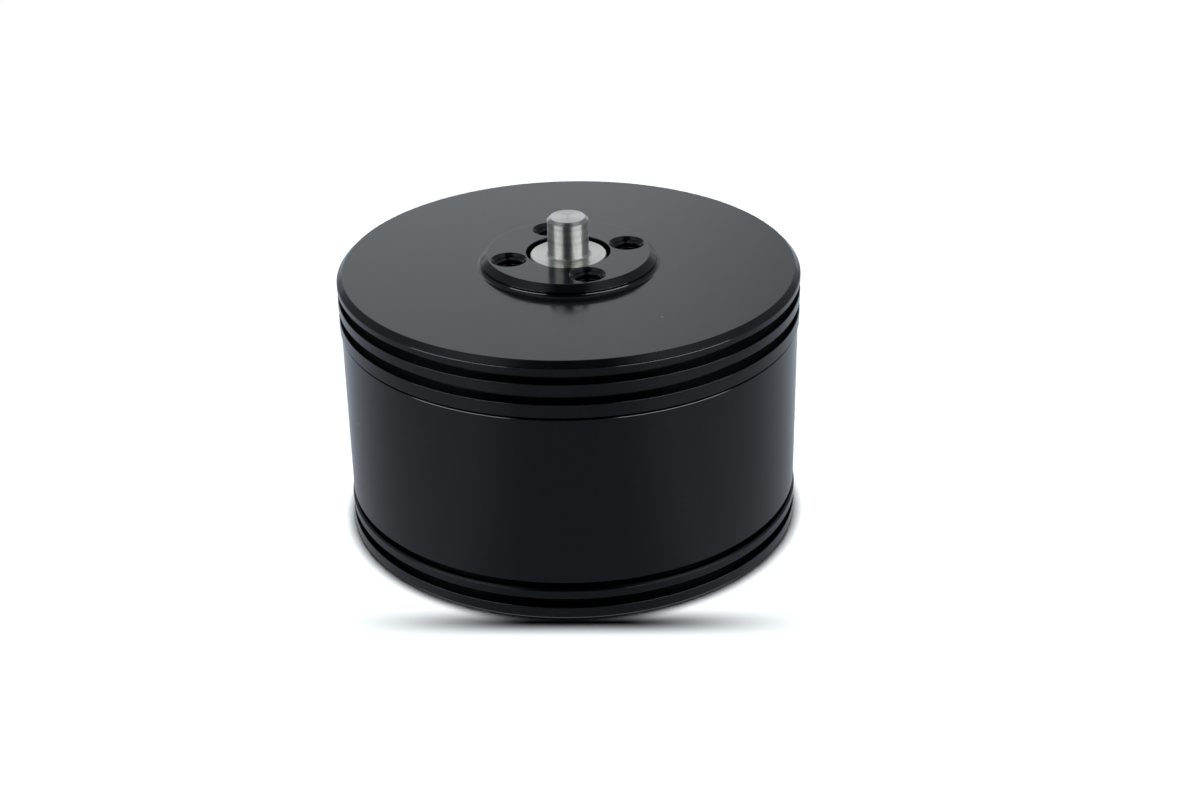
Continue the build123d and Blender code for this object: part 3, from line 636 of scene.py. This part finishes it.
def studio_floor():
    """Large pale floor. The camera sees it lit, with the motor's narrow cast shadow, a painted
    shadow (a soft dark stripe painted into the floor's colour below the foot's front), and plain
    white far away; reflections see it darker in front of the motor than behind it."""
    size = 6.0
    mesh = bpy.data.meshes.new("floor")
    mesh.from_pydata([(-size, -size, 0), (size, -size, 0), (size, size, 0), (-size, size, 0)],
                     [], [(0, 1, 2, 3)])
    floor = bpy.data.objects.new("floor", mesh)
    bpy.context.scene.collection.objects.link(floor)
    made = bpy.data.materials.new("floor_paper")
    made.use_nodes = True
    t = Tree(made.node_tree)
    tree_nodes = made.node_tree.nodes
    tree_nodes.remove(tree_nodes["Principled BSDF"])
    out = tree_nodes["Material Output"]
    split = t.node("ShaderNodeSeparateXYZ")
    t.feed(split, 0, t.node("ShaderNodeTexCoord").outputs["Object"])
    x, y, _ = split.outputs
    front = t.between(compass(t, x, y), turn_of(42), turn_of(8))
    shade = t.blend(t.between(y, -0.03, 0.08), colour(0.33, 0.355, 0.40),
                    colour(0.52, 0.58, 0.66))
    mirrored = t.node("ShaderNodeEmission")
    t.feed(mirrored, "Color", t.blend(front, shade, colour(0.175, 0.205, 0.24)))
    seen = t.node("ShaderNodeBsdfDiffuse")
    # Painted shadow: a soft dark stripe painted into the floor's colour across the front of the
    # foot, darkest in the middle and fading to the sides
    painted_shadow_slope, painted_shadow_front, painted_shadow_half = 0.0467, 0.046, 0.0056
    painted_shadow_full, painted_shadow_end = 0.008, 0.048
    painted_shadow_offset = t.math("ABSOLUTE", t.math("ADD", y, t.math("MULTIPLY_ADD", x, painted_shadow_slope, painted_shadow_front)))
    painted_shadow = t.math("MULTIPLY", t.between(painted_shadow_offset, 0.0, painted_shadow_half, 1.0, 0.0),
                  t.between(t.math("ABSOLUTE", x), painted_shadow_full, painted_shadow_end, 1.0, 0.0))
    t.join(t.blend(painted_shadow, colour(0.9, 0.9, 0.9), colour(0, 0, 0)), seen.inputs["Color"])
    white = t.node("ShaderNodeEmission")
    backdrop = t.node("ShaderNodeMixShader")
    t.join(t.between(t.length(x, y), 0.15, 0.5), backdrop.inputs[0])
    t.join(seen.outputs[0], backdrop.inputs[1])
    t.join(white.outputs[0], backdrop.inputs[2])
    matt = t.node("ShaderNodeBsdfDiffuse")
    matt.inputs["Color"].default_value = colour(0.7, 0.7, 0.7)
    path = t.node("ShaderNodeLightPath").outputs
    first = t.node("ShaderNodeMixShader")
    t.join(path["Is Glossy Ray"], first.inputs[0])
    t.join(matt.outputs[0], first.inputs[1])
    t.join(mirrored.outputs[0], first.inputs[2])
    last = t.node("ShaderNodeMixShader")
    t.join(path["Is Camera Ray"], last.inputs[0])
    t.join(first.outputs[0], last.inputs[1])
    t.join(backdrop.outputs[0], last.inputs[2])
    t.join(last.outputs[0], out.inputs["Surface"])
    mesh.materials.append(made)


studio_floor()


def camera():
    """Camera fitted to the photograph: 357 mm in front of the shaft axis and 206 mm above the
    floor, tipped down 27.1 degrees, turned 0.9 degrees and rolled 1 degree."""
    pitch, yaw, roll = math.radians(27.107), math.radians(-0.906), math.radians(0.98)
    turn = Matrix.Rotation(yaw, 3, "Z")
    ahead = turn @ Vector((0, math.cos(pitch), -math.sin(pitch)))
    right = turn @ Vector((1, 0, 0))
    down = turn @ Vector((0, -math.sin(pitch), -math.cos(pitch)))
    across = math.cos(roll) * right + math.sin(roll) * down
    below = -math.sin(roll) * right + math.cos(roll) * down
    data = bpy.data.cameras.new("camera")
    data.sensor_width = 36.0
    data.lens = 59.77
    data.clip_start, data.clip_end = 0.01, 50
    made = bpy.data.objects.new("camera", data)
    place = Matrix((across, -below, -ahead)).transposed().to_4x4()
    place.translation = (0, -0.35745, 0.20583)
    made.matrix_world = place
    bpy.context.scene.collection.objects.link(made)
    bpy.context.scene.camera = made


camera()

bpy.context.scene.view_settings.view_transform = "Standard"
